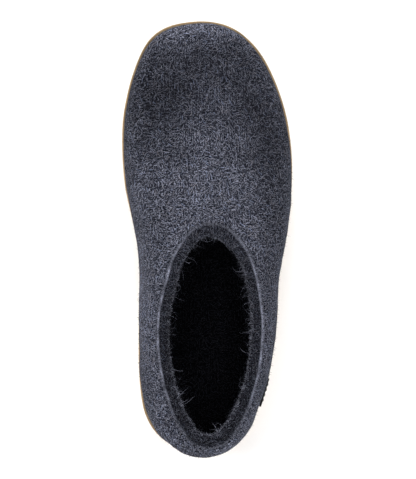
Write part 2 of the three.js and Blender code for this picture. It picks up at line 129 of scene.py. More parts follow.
def join_rings(body, rings):
    """Adds four-sided faces between each ring of corners and the next."""
    for low, high in zip(rings, rings[1:]):
        for corners in zip(low, low[1:] + low[:1], high[1:] + high[:1], high):
            body.faces.new(corners)


def add_tube(body, rings):
    join_rings(body, rings)
    body.faces.new(rings[0])
    body.faces.new(rings[-1])


def search_tree(mesh, kind=None):
    """A search tree of a mesh's faces, or of those with one material."""
    faces = [tuple(f.vertices) for f in mesh.polygons if kind is None or f.material_index == kind]
    return BVHTree.FromPolygons([v.co[:] for v in mesh.vertices], faces)


def distances(points, tree, reach):
    """How far points are from a tree's faces, up to reach."""
    found = [tree.find_nearest(Vector(p), reach)[3] for p in points]
    return np.array([reach if distance is None else distance for distance in found])


def nearness(points, tree, near, far):
    """From 1 nearer than near to a tree's faces to 0 further away than far."""
    return 1 - step(distances(points, tree, far), near, far)


def apply_modifiers(piece):
    """Replaces a piece's mesh by what its modifiers make of it."""
    graph = bpy.context.evaluated_depsgraph_get()
    made = bpy.data.meshes.new_from_object(piece.evaluated_get(graph))
    piece.modifiers.clear()
    piece.data = made


def subdivide(piece, levels):
    smoother = piece.modifiers.new("smooth", "SUBSURF")
    smoother.levels = smoother.render_levels = levels
    apply_modifiers(piece)


def read_rows(items, name, width, kind=np.float64):
    """One value of all of a mesh's vertices or faces, a row for each."""
    values = np.empty(len(items) * width, dtype=kind)
    items.foreach_get(name, values)
    return values.reshape(-1, width)


def read_points(mesh):
    return read_rows(mesh.vertices, "co", 3)


def write_points(mesh, points):
    mesh.vertices.foreach_set("co", points.ravel())
    mesh.update()


def paint(mesh, name, values):
    """Keeps a number for each vertex, for a material to read."""
    layer = mesh.attributes.new(name, "FLOAT", "POINT")
    layer.data.foreach_set("value", np.asarray(values, dtype=np.float32))


def unit(vectors):
    return vectors / np.maximum(np.linalg.norm(vectors, axis=-1, keepdims=True), 1e-12)


def step(value, low, high):
    """A soft step from 0 at low to 1 at high."""
    t = np.clip((value - low) / (high - low), 0, 1)
    return t * t * (3 - 2 * t)


WAVE_SPREAD = (0.7, 1.5)  # shortest and longest of the waves, in shares of their length


def waves(points, length, count, rng):
    """A soft random field between about -1 and 1, made of plane waves of about one length."""
    total = np.zeros(len(points))
    for _ in range(count):
        direction = unit(rng.normal(size=3))
        number = 2 * math.pi / (length * rng.uniform(*WAVE_SPREAD))
        total += np.sin(points @ direction * number + rng.uniform(0, 2 * math.pi))
    return total / math.sqrt(count)


# Materials

def new_material(name, specular):
    material = bpy.data.materials.new(name)
    material.use_nodes = True
    shader = material.node_tree.nodes["Principled BSDF"]
    shader.inputs["Specular IOR Level"].default_value = specular
    return material, material.node_tree, shader


def connect(tree, socket, value):
    if isinstance(value, bpy.types.NodeSocket):
        tree.links.new(value, socket)
    else:
        socket.default_value = value


def add_node(tree, kind, inputs, **settings):
    """The outputs of a new node, made with its settings and its inputs' values or links."""
    made = tree.nodes.new(kind)
    for name, value in settings.items():
        setattr(made, name, value)
    for key, value in inputs.items():
        connect(tree, made.inputs[key], value)
    return made.outputs


def place(tree):
    """Where a point of the surface lies in the shoe, in metres."""
    return add_node(tree, "ShaderNodeTexCoord", {})["Object"]


def stretched(tree, vector, scale):
    return add_node(tree, "ShaderNodeMapping", {"Vector": vector, "Scale": scale})["Vector"]


def texture(tree, kind, vector, size, inputs=None, **settings):
    """The outputs of a texture whose pattern is about size metres across."""
    values = {"Vector": vector, "Scale": 1 / size, **(inputs or {})}
    return add_node(tree, kind, values, **settings)


def noise(tree, vector, size, detail=2.0, rough=0.5):
    inputs = {"Detail": detail, "Roughness": rough}
    return texture(tree, "ShaderNodeTexNoise", vector, size, inputs)["Fac"]


def calc(tree, operation, first, second=0.0):
    return add_node(tree, "ShaderNodeMath", {0: first, 1: second}, operation=operation)[0]


def times(tree, first, second):
    return calc(tree, "MULTIPLY", first, second)


def ramp(tree, value, low, high, start=0.0, end=1.0):
    """A soft step from start at low to end at high."""
    inputs = {"Value": value, "From Min": low, "From Max": high, "To Min": start, "To Max": end}
    return add_node(tree, "ShaderNodeMapRange", inputs, interpolation_type="SMOOTHSTEP")["Result"]


def mix(tree, share, first, second):
    first, second = (c if isinstance(c, bpy.types.NodeSocket) else (*c, 1) for c in (first, second))
    inputs = {"Factor": share, 6: first, 7: second}
    return add_node(tree, "ShaderNodeMix", inputs, data_type="RGBA")[2]


def painted(tree, name):
    return add_node(tree, "ShaderNodeAttribute", {}, attribute_name=name)["Fac"]


def dress(tree, shader, colour, roughness):
    connect(tree, shader.inputs["Base Color"], colour)
    connect(tree, shader.inputs["Roughness"], roughness)


def bump(tree, shader, height, depth, strength):
    inputs = {"Strength": strength, "Distance": depth, "Height": height}
    connect(tree, shader.inputs["Normal"], add_node(tree, "ShaderNodeBump", inputs)["Normal"])


def vector_calc(tree, operation, first, second):
    made = add_node(tree, "ShaderNodeVectorMath", {0: first, 1: second}, operation=operation)
    return made["Value" if operation == "DOT_PRODUCT" else "Vector"]


def random_shift(tree, vector, size, reach):
    """A soft random vector field that changes over about size metres."""
    cloud = texture(tree, "ShaderNodeTexNoise", vector, size, {"Detail": 0})
    shift = vector_calc(tree, "SUBTRACT", cloud["Color"], (0.5, 0.5, 0.5))
    return vector_calc(tree, "MULTIPLY", shift, (reach,) * 3)


def fibre_strokes(tree, vector, size, thick, drift):
    """Short fibres along the surface, one to a cell, some paler and in tufts that run one way."""
    cells = texture(tree, "ShaderNodeTexVoronoi", vector, size)
    chance = cells["Color"]
    surface = add_node(tree, "ShaderNodeNewGeometry", {})["Normal"]
    leaning = vector_calc(tree, "SUBTRACT", chance, (0.5, 0.5, 0.5))
    leaning = vector_calc(tree, "ADD", leaning, drift)
    across = vector_calc(tree, "CROSS_PRODUCT", surface, leaning)
    across = vector_calc(tree, "NORMALIZE", across, (0, 0, 0))
    offset = vector_calc(tree, "SUBTRACT", vector, cells["Position"])
    away = calc(tree, "ABSOLUTE", vector_calc(tree, "DOT_PRODUCT", offset, across))
    first, second, _ = add_node(tree, "ShaderNodeSeparateColor", {"Color": chance})
    paleness = ramp(tree, first, 0.15, 0.95, 0.1, 1.0)
    strength = times(tree, ramp(tree, away, thick * 0.2, thick * 0.6, 1.0, 0.0), paleness)
    return strength, second


def scaled(colour, factor):
    return tuple(channel * factor for channel in colour)


GRAIN_RISE = 0.65  # the grain of the felt is a little longer up the walls than along them
GRAIN = 0.9 * MM
SPECKLE = 0.6 * MM
CURL_SIZE, CURL_REACH = 2.4 * MM, 0.6 * MM  # how the fibres bend
TUFT_SIZE, TUFT_PULL = 11 * MM, 2.2  # how far fibres run one way, and how strictly
CLOUD_SIZE = 28 * MM
BLUISH, BROWNISH = (0.84, 0.97, 1.18), (1.12, 1.0, 0.86)  # tints of single fibres
SHEEN_TINT = (0.82, 0.87, 1.0, 1.0)

# Layers of strokes in the felt: the size of the cells that hold one each, how thick it is, in
# millimetres, and how the layer is mirrored, so that no two fall together
STROKES = (
    (2.5, 0.36, (1, 1, 1)),
    (1.7, 0.36, (1, -1, 1)),
    (1.15, 0.34, (-1, 1, 1)),
)


def felt_material(name, looks, bright=1.0, pale_bright=1.0, sheen=0.0, toned=False):
    """Heathered wool felt: a dark ground with grey and pale fibres curled through it."""
    material, tree, shader = new_material(name, specular=0.01)
    spot = stretched(tree, place(tree), (1, 1, GRAIN_RISE))
    twisted = vector_calc(tree, "ADD", spot, random_shift(tree, spot, CURL_SIZE, CURL_REACH))
    drift = random_shift(tree, spot, TUFT_SIZE, TUFT_PULL)
    fine = noise(tree, spot, GRAIN, detail=3, rough=0.6)
    (coarse, hue), (middle, _), (small, _) = (
        fibre_strokes(tree, stretched(tree, twisted, mirror), cell * MM, thick * MM, drift)
        for cell, thick, mirror in STROKES
    )
    coarse = times(tree, coarse, ramp(tree, fine, 0.35, 0.6, 0.35, 1.0))
    ground = scaled(looks.ground_colour, bright)
    grey = scaled(looks.fibre_colour, bright)
    pale = scaled(looks.pale_fibre_colour, pale_bright)
    bluish, brownish = (tuple(a * b for a, b in zip(pale, tint)) for tint in (BLUISH, BROWNISH))
    colour = mix(tree, ramp(tree, fine, 0.4, 0.65, 0.0, 0.8), ground, grey)
    broken = ramp(tree, noise(tree, spot, SPECKLE, detail=1), 0.4, 0.58, 0.25, 1.15)
    colour = mix(tree, times(tree, small, broken), colour, pale)
    colour = mix(tree, times(tree, middle, broken), colour, pale)
    colour = mix(tree, coarse, colour, mix(tree, hue, bluish, brownish))
    shade = ramp(tree, noise(tree, spot, CLOUD_SIZE, detail=1), 0.3, 0.7, 0.8, 1.15)
    # The painted tone: painted light and shade over the felt, partly the wool's own tone
    if toned:
        shade = times(tree, shade, painted(tree, "tone"))
    colour = vector_calc(tree, "MULTIPLY", colour, shade)
    if toned:
        # A painted highlight along the collar's outer corner, standing in for lit raised wool
        raised = times(tree, painted(tree, "corner"), ramp(tree, fine, 0.3, 0.6, 0.45, 1.0))
        colour = mix(tree, raised, colour, scaled(looks.pale_fibre_colour, looks.painted_rim_highlight))
    dress(tree, shader, colour, ramp(tree, fine, 0.2, 0.8, 1.0, 0.82))
    if sheen:
        shader.inputs["Sheen Weight"].default_value = sheen
        shader.inputs["Sheen Roughness"].default_value = 0.45
        shader.inputs["Sheen Tint"].default_value = SHEEN_TINT
    height = times(tree, fine, 0.5)
    for layer, share in ((coarse, 0.6), (middle, 0.5)):
        height = calc(tree, "ADD", height, times(tree, layer, share))
    bump(tree, shader, height, 0.5 * MM, 0.9)
    return material


def fibre_material(name, colour):
    """Loose wool: each fibre is a little lighter or darker than its neighbours."""
    material, tree, shader = new_material(name, specular=0.06)
    shades = mix(tree, painted(tree, "fibre_tone"), scaled(colour, 0.04), colour)
    grain = noise(tree, place(tree), 0.4 * MM)
    dress(tree, shader, shades, ramp(tree, grain, 0.3, 0.7, 0.6, 0.9))
    return material


GLUE_AND_SHADE_COLOUR = (0.012, 0.01, 0.008)  # glue and shadow between the rubber and the felt


def rubber_material(colour):
    """Natural rubber: honey-coloured, cloudy, finely pitted, darker where it meets the felt, with
    glue and painted shade.
    """
    material, tree, shader = new_material("natural_rubber", specular=0.1)
    spot = place(tree)
    clouds = noise(tree, spot, 9 * MM, detail=4, rough=0.6)
    pits = noise(tree, spot, 0.9 * MM, detail=2)
    honey = mix(tree, ramp(tree, clouds, 0.3, 0.7), scaled(colour, 0.8), scaled(colour, 1.1))
    honey = mix(tree, ramp(tree, pits, 0.55, 0.75, 0.0, 0.35), honey, scaled(colour, 0.45))
    # Glue and painted shade on the rubber next to the felt
    honey = mix(tree, painted(tree, "glue_and_shade"), honey, GLUE_AND_SHADE_COLOUR)
    dress(tree, shader, honey, ramp(tree, pits, 0.3, 0.8, 0.62, 0.85))
    bump(tree, shader, calc(tree, "ADD", pits, clouds), 0.15 * MM, 0.5)
    return material


LEATHER_CELL = 0.8 * MM
PLY_SIZE = MM / 0.9  # of the thread's ply


def leather_material(colour):
    """Black full-grain leather with fine cells and scuffed corners."""
    material, tree, shader = new_material("tab_leather", specular=0.22)
    spot = place(tree)
    cells = texture(tree, "ShaderNodeTexVoronoi", spot, LEATHER_CELL, feature="DISTANCE_TO_EDGE")
    grain = ramp(tree, cells["Distance"], 0.0, 0.25)
    scuffs = noise(tree, spot, 3 * MM, detail=4, rough=0.7)
    black = mix(tree, ramp(tree, scuffs, 0.5, 0.8, 0.0, 0.6), colour, scaled(colour, 3.0))
    dress(tree, shader, black, ramp(tree, scuffs, 0.3, 0.7, 0.45, 0.7))
    bump(tree, shader, grain, 0.15 * MM, 0.9)
    return material


def thread_material(colour):
    """Waxed thread with a twisted ply."""
    material, tree, shader = new_material("tab_thread", specular=0.5)
    ply = texture(tree, "ShaderNodeTexWave", place(tree), PLY_SIZE, bands_direction="DIAGONAL")
    turns = ply["Fac"]
    shades = mix(tree, turns, scaled(colour, 0.6), colour)
    dress(tree, shader, shades, ramp(tree, turns, 0.0, 1.0, 0.7, 0.5))
    bump(tree, shader, turns, 0.06 * MM, 0.5)
    return material


# The felted upper

OUTER, CUT_EDGE, LINING = range(3)

# Soft creases of the felt: where each starts and ends, both along the shoe (shares of the length)
# and across it (shares of the width, outer side plus), how deep it is and how wide, in
# millimetres. A minus depth is a ridge.
CREASES = (
    (0.655, -0.36, 0.675, -0.05, 0.9, 7),
    (0.7, -0.4, 0.72, 0.02, -0.6, 7),
    (0.64, 0.1, 0.66, 0.42, 0.9, 8),
    (0.6, 0.2, 0.58, 0.46, -0.6, 6),
    (0.42, -0.42, 0.5, -0.34, 1.0, 8),
    (0.36, 0.46, 0.47, 0.4, 1.0, 9),
    (0.12, 0.4, 0.22, 0.44, 0.7, 8),
    (0.06, -0.29, 0.2, -0.4, -0.8, 6),
    (0.86, -0.2, 0.88, 0.16, 0.5, 10),
)

# Darker and lighter patches painted on the wool, partly painted light and shade (the toe's top
# darker, the vamp's middle lighter) and partly the wool's own tone: the place (shares as above), the
# reach along and across in millimetres, and how much lighter (plus) or darker (minus) the patch is.
LIGHT_SHADE_AND_TONE_PATCHES = (
    (0.86, -0.3, 26, 30, -0.42),
    (0.88, 0.15, 30, 40, -0.38),
    (0.76, -0.3, 16, 22, -0.28),
    (0.73, 0.33, 30, 18, -0.22),
    (0.62, 0.36, 50, 16, -0.22),
    (0.8, -0.46, 30, 14, -0.15),
    (0.65, -0.42, 34, 12, -0.12),
    (0.66, -0.03, 40, 26, 0.25),
    (0.52, 0.12, 16, 22, 0.3),
    (0.98, -0.1, 10, 40, 0.3),
)
TONE_LOW, TONE_HIGH = 0.3, 1.6


def spine(points):
    """The nearest points of the hollow's middle line."""
    middle = np.zeros_like(points)
    middle[:, 1] = np.clip(points[:, 1], UPPER_LOW[1] + SPINE_END, UPPER_HIGH[1] - SPINE_END)
    middle[:, 2] = SPINE_HEIGHT
    return middle


EDGE_RISE, EDGE_FACING = 0.4, 0.05  # least slope of the cut edge's faces, up and to the hollow


def sort_faces(mesh):
    """Tells the felt's outer face, its cut edge round the collar and its lining apart."""
    for face in mesh.polygons:
        away = face.center - Vector(spine(np.array([face.center[:]]))[0])
        to_collar = (COLLAR_CENTRE - face.center).to_2d().normalized()
        faces_collar = face.normal.to_2d().dot(to_collar)
        if face.center.z > COLLAR_LOW and face.normal.z > EDGE_RISE and faces_collar > EDGE_FACING:
            face.material_index = CUT_EDGE
        elif face.normal.dot(away) > 0:
            face.material_index = OUTER
        else:
            face.material_index = LINING


def crease_field(points):
    """How far the felt is pressed in at each point by the creases."""
    total = np.zeros(len(points))
    for y0, x0, y1, x1, depth, wide in CREASES:
        start = np.array([x0 * WIDTH, along(y0)])
        run = np.array([x1 * WIDTH, along(y1)]) - start
        share = np.clip(((points[:, :2] - start) @ run) / (run @ run), 0, 1)
        near = start + share[:, None] * run
        distance = np.linalg.norm(points[:, :2] - near, axis=1) / (wide * MM)
        total += depth * MM * np.exp(-(distance ** 2))
    return total


HELD_BY_SOLE = (SOLE_TOP + 2 * MM, SOLE_TOP + 16 * MM)  # the felt is free above it

# Unevenness as layers of waves: their length in millimetres, their count and their share
LUMPS = ((62, 9, 0.6), (26, 12, 0.4))
FINE_LUMPS = ((9, 16, 0.7), (5.5, 16, 0.5))
CORNER_WAVES = ((9, 8, 0.3),)  # how much the painted highlight on the collar's corner comes and goes
INSOLE_WAVES = ((30, 10, 0.15),)


def layered(points, rows, rng):
    return sum(waves(points, length * MM, count, rng) * share for length, count, share in rows)


def shape_felt(mesh, looks, rng):
    """Lumps, creases and small unevenness, which move the whole wall and fade at the sole."""
    points = read_points(mesh)
    free = step(points[:, 2], *HELD_BY_SOLE)
    outward = unit(points - spine(points))
    push = layered(points, LUMPS, rng) * looks.lump_depth
    push -= crease_field(points) * looks.crease_strength
    points += outward * (push * free)[:, None]
    write_points(mesh, points)
    normals = read_rows(mesh.vertex_normals, "vector", 3)
    small = layered(points, FINE_LUMPS, rng)
    points += normals * (small * looks.roughness_depth * free)[:, None]
    write_points(mesh, points)


def patches(points, rows):
    """The sum of soft patches, of which the rows hold the place, the reach and the amount."""
    total = np.zeros(len(points))
    for share_y, share_x, reach_y, reach_x, amount in rows:
        y = (points[:, 1] - along(share_y)) / (reach_y * MM)
        x = (points[:, 0] - share_x * WIDTH) / (reach_x * MM)
        total += amount * np.exp(-(x * x + y * y))
    return total


def light_shade_and_tone_field(points):
    return np.clip(1 + patches(points, LIGHT_SHADE_AND_TONE_PATCHES), TONE_LOW, TONE_HIGH)


# Along the shoe from the heel, in shares of the length: how light the cut edge is, and how
# strong the painted highlight along its outer corner is, which stands in for lit raised wool
BAND_TONES = ((0.0, 0.62), (0.1, 0.72), (0.3, 0.85), (0.45, 1.1), (0.54, 1.5))
CORNER_HIGHLIGHT = (
    (0.06, 0.05), (0.14, 0.4), (0.22, 0.9), (0.32, 1.0), (0.42, 1.0), (0.5, 0.45), (0.54, 0.1),
)
CORNER_OUT, CORNER_IN = 1.1 * MM, 0.8 * MM  # the painted highlight's width on the outer face and on the cut edge
CORNER_MEAN, CORNER_SPAN = 0.8, (0.3, 1.2)


def by_place(points, rows):
    """The value of a table of (share of the length, value) at each point."""
    shares, values = zip(*rows)
    return np.interp(points[:, 1], [along(share) for share in shares], values)


THROAT_FILL = 2.0 * MM  # the wall is thicker at the throat
THROAT_X, THROAT_REACH = 2 * MM, 17 * MM  # its middle, and how far the fill goes to the sides
THROAT_FROM, THROAT_TO = along(0.42), along(0.49)  # from nothing to all of the fill
THROAT_HEIGHTS = (58 * MM, 86 * MM)
FILL_DEPTHS = (0.5 * MM, 5.5 * MM)  # the same, from the outer face inwards
NO_FILL = 0.01
HEEL_LEAN = 1.2 * MM  # the collar leans back at the heel
HEEL_REACH = 26 * MM
HEEL_FROM, HEEL_TO = along(0.17), along(0.05)
HEEL_HEIGHTS = (46 * MM, 78 * MM)


def settle_collar(mesh):
    """Thickens the wall at the throat and leans the heel's collar back, in soft steps."""
    points = read_points(mesh)
    x, y, z = points.T
    outer = search_tree(mesh, OUTER)
    near_throat = np.exp(-((x - THROAT_X) / THROAT_REACH) ** 2)
    near_throat *= step(y, THROAT_FROM, THROAT_TO) * step(z, *THROAT_HEIGHTS)
    for i in np.flatnonzero(near_throat > NO_FILL):
        depth = outer.find_nearest(Vector(points[i]))[3]
        points[i, 1] -= THROAT_FILL * near_throat[i] * step(depth, *FILL_DEPTHS)
    at_heel = np.exp(-(x / HEEL_REACH) ** 2) * step(-y, -HEEL_FROM, -HEEL_TO)
    points[:, 1] -= HEEL_LEAN * at_heel * step(z, *HEEL_HEIGHTS)
    write_points(mesh, points)


class FeltLooks(bpy.types.PropertyGroup):
    ground_colour: FloatVectorProperty(
        name="Ground", description="Darkest wool of the felt", subtype="COLOR",
        default=(0.0024, 0.0025, 0.0046), min=0, max=1,
    )
    fibre_colour: FloatVectorProperty(
        name="Fibres", description="Grey wool felted through the ground", subtype="COLOR",
        default=(0.0125, 0.013, 0.0185), min=0, max=1,
    )
    pale_fibre_colour: FloatVectorProperty(
        name="Pale fibres", description="Palest wool of the felt", subtype="COLOR",
        default=(0.18, 0.189, 0.24), min=0, max=1,
    )
    sheen: FloatProperty(
        name="Nap", description="How much light the raised nap catches", default=0.008, min=0, max=1,
        subtype="FACTOR",
    )
    lump_depth: FloatProperty(
        name="Lumps", description="Height of the soft lumps in the wall", default=0.7 * MM,
        min=0, max=3 * MM, subtype="DISTANCE", unit="LENGTH",
    )
    crease_strength: FloatProperty(
        name="Creases", description="Scales the depth of the creases", default=1.0, min=0, max=2,
        subtype="FACTOR",
    )
    # Strength of the painted highlight along the collar's corner, which stands in for lit raised
    # wool
    painted_rim_highlight: FloatProperty(
        name="Corner", description="Brightness of the raised wool along the collar's corner",
        default=2.3, min=0, max=4, subtype="FACTOR",
    )
    roughness_depth: FloatProperty(
        name="Unevenness", description="Height of the small unevenness of the outer face",
        default=0.13 * MM, min=0, max=1 * MM, subtype="DISTANCE", unit="LENGTH",
    )


class SLIPPER_OT_upper(bpy.types.Operator):
    """Make the felted upper with its cut edge and lining"""

    bl_idname = "slipper.upper"
    bl_label = "Felted upper"

    def execute(self, context):
        looks = context.scene.slipper_felt
        upper = quad_copy("upper", "felt_upper")
        sort_faces(upper.data)
        subdivide(upper, 2)
        settle_collar(upper.data)
        shape_felt(upper.data, looks, np.random.default_rng(4))
        points = read_points(upper.data)
        in_band = nearness(points, search_tree(upper.data, CUT_EDGE), 0, CORNER_OUT)
        outside = nearness(points, search_tree(upper.data, OUTER), 0, CORNER_IN)
        patchy = CORNER_MEAN + layered(points, CORNER_WAVES, np.random.default_rng(6))
        # A painted highlight along the collar's outer corner, which comes and goes along the collar
        raised = np.minimum(in_band, outside) * by_place(points, CORNER_HIGHLIGHT)
        paint(upper.data, "corner", raised * np.clip(patchy, *CORNER_SPAN))
        # Off the cut edge the tone is painted light and shade, partly the wool's own tone
        tones = np.where(in_band == 1, by_place(points, BAND_TONES), light_shade_and_tone_field(points))
        paint(upper.data, "tone", tones)
        upper.data.shade_smooth()
        for material in (
            felt_material("felt_outer", looks, sheen=looks.sheen, toned=True),
            felt_material("felt_cut_edge", looks, bright=0.6, pale_bright=0.4, toned=True),
            # The lining is the same felt made darker: painted shade for the inside of the slipper
            felt_material("felt_lining_painted_shade", looks, bright=0.12, pale_bright=0.12),
        ):
            upper.data.materials.append(material)
        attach(upper, BODY)
        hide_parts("upper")
        return {"FINISHED"}


# Loose wool on the felt

OUTER_RIM, INNER_RIM, BARE_RIM = 0.9 * MM, 1 * MM, 1.2 * MM  # distances from the cut edge
NAP_START = SOLE_TOP + 1 * MM
STEEP_NAP = 0.25  # share of the nap that is left on the felt's upright sides
INNER_SLOPE = 0.86  # the rim of the lining is steeper than this


def growing_places(mesh):
    """The felt's triangles, their normals and, by place, how likely wool grows on each."""
    mesh.calc_loop_triangles()
    triangles = mesh.loop_triangles
    corners = read_points(mesh)[read_rows(triangles, "vertices", 3, np.int32)]
    owners = read_rows(triangles, "polygon_index", 1, np.int32)[:, 0]
    kinds = read_rows(mesh.polygons, "material_index", 1, np.int32)[owners, 0]
    across = np.cross(corners[:, 1] - corners[:, 0], corners[:, 2] - corners[:, 0])
    area = np.linalg.norm(across, axis=1)
    normals = unit(across)
    centres = corners.mean(axis=1)
    gap = distances(centres, search_tree(mesh, CUT_EDGE), BARE_RIM)
    on_face = (kinds == OUTER) & (centres[:, 2] > NAP_START) & (gap >= BARE_RIM)
    return corners, normals, {
        "outer face": area * on_face * (STEEP_NAP + (1 - STEEP_NAP) * np.abs(normals[:, 2])),
        "outer rim": area * ((kinds == OUTER) & (gap < OUTER_RIM)),
        "inner rim": area * ((kinds != OUTER) & (gap < INNER_RIM) & (normals[:, 2] < INNER_SLOPE)),
        "cut edge": area * (kinds == CUT_EDGE),
    }


def surface_sample(corners, normals, chance, count, rng):
    """Random points on triangles, and the normals there."""
    picked = rng.choice(len(corners), size=count, p=chance / chance.sum())
    u, v = rng.random((2, count))
    over = u + v > 1
    u[over], v[over] = 1 - u[over], 1 - v[over]
    first, second, third = corners[picked].transpose(1, 0, 2)
    roots = first + u[:, None] * (second - first) + v[:, None] * (third - first)
    return roots, normals[picked]


# The loose wool: the place it grows on, how many fibres there are (a setting, or a part of it),
# their length and width in millimetres, how steeply they rise, how they curl, the steps they are
# drawn in, how far they lean to the hollow, and how light they are where they don't follow the
# felt's patches of painted light and shade and tone. Laid fibres follow the outer face.
NAP = {"on": "outer face", "count": "nap_count", "length": (1.0, 3.0), "curl": 2.2, "steps": 4}
RIM = {"count": "edge_count", "width": (0.1, 0.2), "lift": (0.1, 0.6), "curl": 2.2, "steps": 4}
FIBRES = (
    {**NAP, "name": "felt_nap_low", "width": (0.12, 0.24), "lift": (0.0, 0.06)},
    {**NAP, "name": "felt_nap_high", "part": 2, "width": (0.08, 0.14), "lift": (0.03, 0.2)},
    {**RIM, "name": "felt_fuzz_outer_edge", "on": "outer rim", "length": (0.5, 1.4), "tone": 1.8},
    {**RIM, "name": "felt_fuzz_inner_edge", "on": "inner rim", "length": (0.6, 2.4), "tone": 1.3},
    {**RIM, "name": "felt_fuzz_cut_edge", "on": "cut edge", "length": (0.8, 2.2),
     "width": (0.06, 0.12), "lift": (0.05, 0.4), "curl": 2.4, "tone": 0.7},
    {"name": "felt_stray_fibres", "on": "inner rim", "count": "stray_count", "length": (2.5, 11),
     "width": (0.08, 0.14), "lift": (0.1, 0.5), "curl": 10, "steps": 20, "lean": 0.45, "tone": 4.5},
    {"name": "felt_long_hairs", "on": "outer face", "count": "long_count", "length": (5, 14),
     "width": (0.08, 0.13), "lift": (0.0, 0.02), "curl": 2.6, "steps": 16, "tone": 5.0,
     "laid": True},
)
ROOT_DEPTH = 0.1 * MM
CLEARANCE = 0.12 * MM  # of laid fibres from the felt
LEAN_LEFT = 0.6  # of its own way, in a leaning fibre
TURN_SPREAD, FLAT_SPREAD = 0.6, 0.3  # how much the fibres' turning and their flat sides vary
MOST_SINK = 0.5
RARE, PALEST = 6, 1.8  # few fibres are pale: a random number to this power, times this
TIP_TAPER = 0.7  # share of a fibre's width that is gone at its tip


def laid_on(points, tree):
    """The points moved onto a surface, just clear of it."""
    near = [tree.find_nearest(Vector(p)) for p in points]
    return np.array([(hit + normal * CLEARANCE)[:] for hit, normal, _, _ in near])


def to_hollow(roots):
    """Level directions from points of the collar to its middle."""
    inward = np.array(COLLAR_CENTRE) - roots
    inward[:, 2] = 0
    return unit(inward)


def fibre_lines(row, roots, normals, outer, rng):
    """The points of each fibre from its root to its tip, and the ways in which it is flat."""
    count, steps = len(roots), row["steps"]
    side = unit(np.cross(normals, unit(rng.normal(size=(count, 3)))))
    if "lean" in row:
        side = unit(side * LEAN_LEFT + to_hollow(roots) * row["lean"])
    rise = rng.uniform(*row["lift"], count)[:, None]
    heading = unit(side * (1 - rise) + normals * rise)
    total = rng.uniform(*scaled(row["length"], MM), count)[:, None]
    turn_axis = unit(normals + TURN_SPREAD * rng.normal(size=(count, 3)))
    turn = rng.normal(size=(count, 1)) * row["curl"] / steps
    sink = rng.uniform(0.0, MOST_SINK, count)[:, None] / steps
    point = roots - normals * ROOT_DEPTH
    line, flats = [point], []
    for _ in range(steps):
        heading = unit(heading + np.cross(turn_axis, heading) * turn - normals * sink * rise)
        point = point + heading * total / steps
        if "laid" in row:
            point = laid_on(point, outer)
        line.append(point)
        flats.append(unit(np.cross(heading, normals) + FLAT_SPREAD * turn_axis))
    return line, [*flats, flats[-1]]


def fibre_piece(row, roots, normals, outer, rng):
    """Thin ribbons that start on the felt and curl over it, all in one mesh."""
    count, steps = len(roots), row["steps"]
    line, flats = fibre_lines(row, roots, normals, outer, rng)
    half = rng.uniform(*scaled(row["width"], MM), count)[:, None] / 2
    rows = []
    for k in range(steps + 1):
        reach = flats[k] * half * (1 - TIP_TAPER * (k / steps) ** 2)
        rows += [line[k] - reach, line[k] + reach]
    points = np.stack(rows, axis=1).reshape(-1, 3)
    base = np.arange(count)[:, None] * 2 * (steps + 1)
    faces = np.concatenate(
        [base + np.array([2 * k, 2 * k + 1, 2 * k + 3, 2 * k + 2]) for k in range(steps)]
    )
    mesh = bpy.data.meshes.new(row["name"])
    mesh.vertices.add(len(points))
    mesh.vertices.foreach_set("co", points.ravel())
    mesh.loops.add(faces.size)
    mesh.loops.foreach_set("vertex_index", faces.ravel().astype(np.int32))
    mesh.polygons.add(len(faces))
    mesh.polygons.foreach_set("loop_start", np.arange(0, faces.size, 4, dtype=np.int32))
    mesh.update(calc_edges=True)
    # Fibres without a lightness of their own take the felt's painted light and shade and tone
    tone = row["tone"] if "tone" in row else light_shade_and_tone_field(roots)
    tones = rng.random(count) ** RARE * PALEST * tone
    paint(mesh, "fibre_tone", np.repeat(tones, 2 * (steps + 1)))
    mesh.shade_smooth()
    return add_object(row["name"], mesh)


class FuzzLooks(bpy.types.PropertyGroup):
    colour: FloatVectorProperty(
        name="Wool", description="Colour of the loose fibres", subtype="COLOR",
        default=(0.21, 0.22, 0.275), min=0, max=1,
    )
    nap_count: IntProperty(
        name="Nap", description="Fibres that lie on the outer face, for each of its meshes",
        default=12000, min=100, max=24000,
    )
    edge_count: IntProperty(
        name="Edge", description="Fibres along each corner of the cut edge",
        default=8000, min=100, max=24000,
    )
    stray_count: IntProperty(
        name="Strays", description="Long fibres that hang into the collar",
        default=520, min=1, max=4000,
    )
    long_count: IntProperty(
        name="Long hairs", description="Long pale hairs that lie on the outer face",
        default=240, min=1, max=4000,
    )


class SLIPPER_OT_fuzz(bpy.types.Operator):
    """Scatter loose wool fibres over the felt and round its collar"""

    bl_idname = "slipper.fuzz"
    bl_label = "Loose wool"

    def execute(self, context):
        looks = context.scene.slipper_fuzz
        felt = bpy.data.objects["felt_upper"].data
        outer = search_tree(felt, OUTER)
        corners, normals, places = growing_places(felt)
        rng = np.random.default_rng(11)
        wool = fibre_material("loose_wool", looks.colour)
        for row in FIBRES:
            count = getattr(looks, row["count"]) // row.get("part", 1)
            roots, facing = surface_sample(corners, normals, places[row["on"]], count, rng)
            piece = fibre_piece(row, roots, facing, outer, rng)
            piece.data.materials.append(wool)
            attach(piece, BODY)
        return {"FINISHED"}


# The insole

# Where the foot has pressed it in, with rows like those of the felt's patches
HOLLOWS = (
    (0.16, 0, 26, 17, 0.9),
    (0.68, 0, 24, 30, 0.7),
)
INSOLE_TOP = (UPPER_LOW[2] + 7 * MM, UPPER_LOW[2] + 10 * MM)  # only its upper face is shaped


